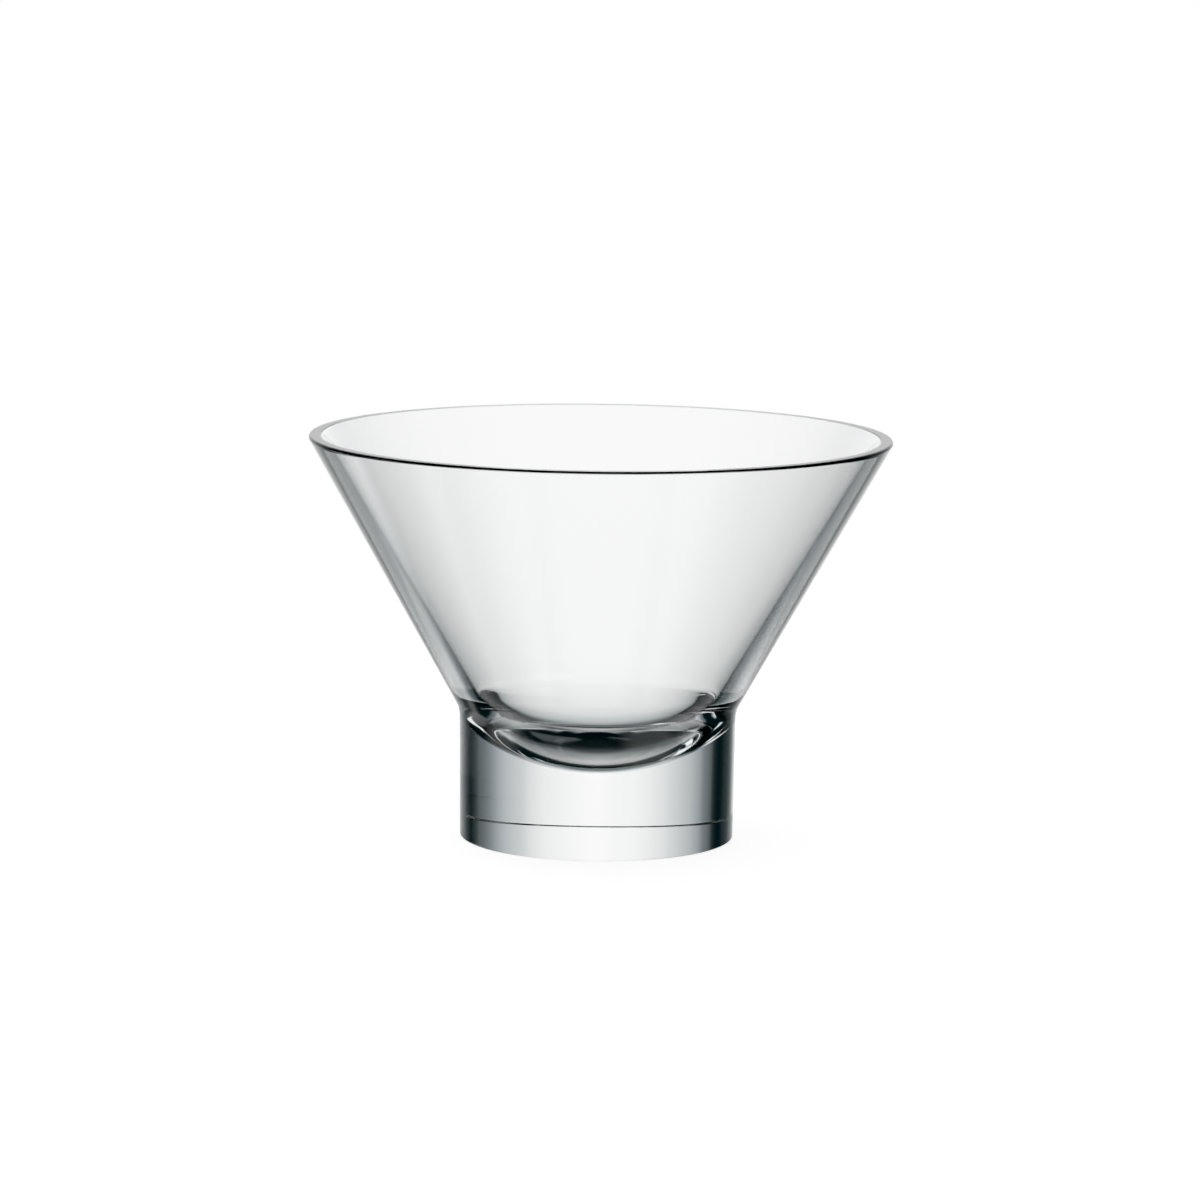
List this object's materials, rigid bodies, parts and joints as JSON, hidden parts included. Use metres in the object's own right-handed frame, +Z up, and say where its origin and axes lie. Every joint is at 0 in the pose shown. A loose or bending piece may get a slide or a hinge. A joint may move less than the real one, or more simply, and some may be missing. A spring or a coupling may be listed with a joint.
{
  "type": "dessert bowl",
  "caption": "Clear glass dessert bowl: a straight-sided conical bowl with a flat-topped rim and a round-bottomed cavity on a heavy solid cylindrical foot.",
  "frame": {"origin": "centre of the resting face under the foot", "axes": "+Z up along the axis that the bowl and the foot are turned about; X and Y are alike"},
  "size_m": [0.125, 0.125, 0.0869],
  "materials": {
    "bowl_glass": "clear pressed soda-lime glass, fire-polished and glossy",
    "foot_glass": "clear pressed soda-lime glass, fire-polished and glossy"
  },
  "bodies": {
    "root": {"bowl": "bowl_glass", "foot": "foot_glass"}
  },
  "joints": []
}
